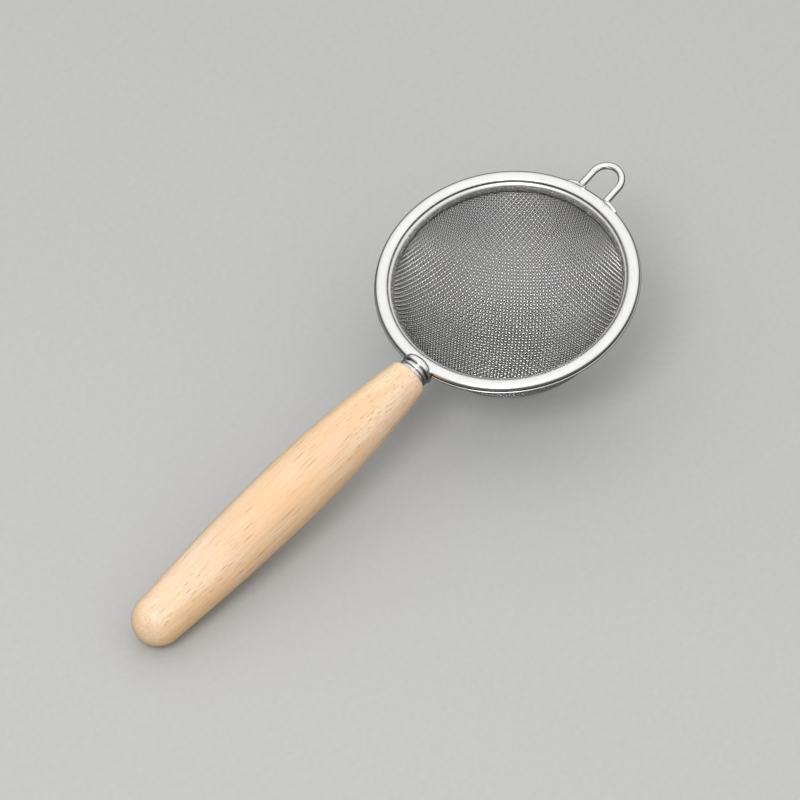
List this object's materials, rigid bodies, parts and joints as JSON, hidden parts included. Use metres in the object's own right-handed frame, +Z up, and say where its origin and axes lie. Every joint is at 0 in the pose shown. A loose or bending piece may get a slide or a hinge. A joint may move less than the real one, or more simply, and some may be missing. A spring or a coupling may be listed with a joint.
{
  "type": "tea strainer",
  "caption": "Round tea strainer with a woven wire bowl in a rolled steel rim, a turned wooden handle and a wire hanging loop.",
  "frame": {"origin": "under the middle of the strainer's length, on the plane that the bowl and the tip of the handle stand on", "axes": "+X from the handle's tip towards the hanging loop, +Y across the rim, +Z up; the strainer is at rest, so its rim is tilted 10.0 degrees with the handle's side low"},
  "size_m": [0.1748, 0.068, 0.0404],
  "materials": {
    "rim_steel": "polished stainless",
    "band_steel": "satin stainless",
    "mesh_wire": "bright drawn wire, plain weave",
    "beech": "satin, pale turned beech"
  },
  "bodies": {
    "root": {"rim_cover": "rim_steel", "rim_band": "band_steel", "rim_backing": "band_steel", "mesh_basket": "mesh_wire", "hanging_loop": "rim_steel", "handle_bolster": "rim_steel", "ferrule": "band_steel", "tang": "band_steel", "handle": "beech"}
  },
  "joints": []
}
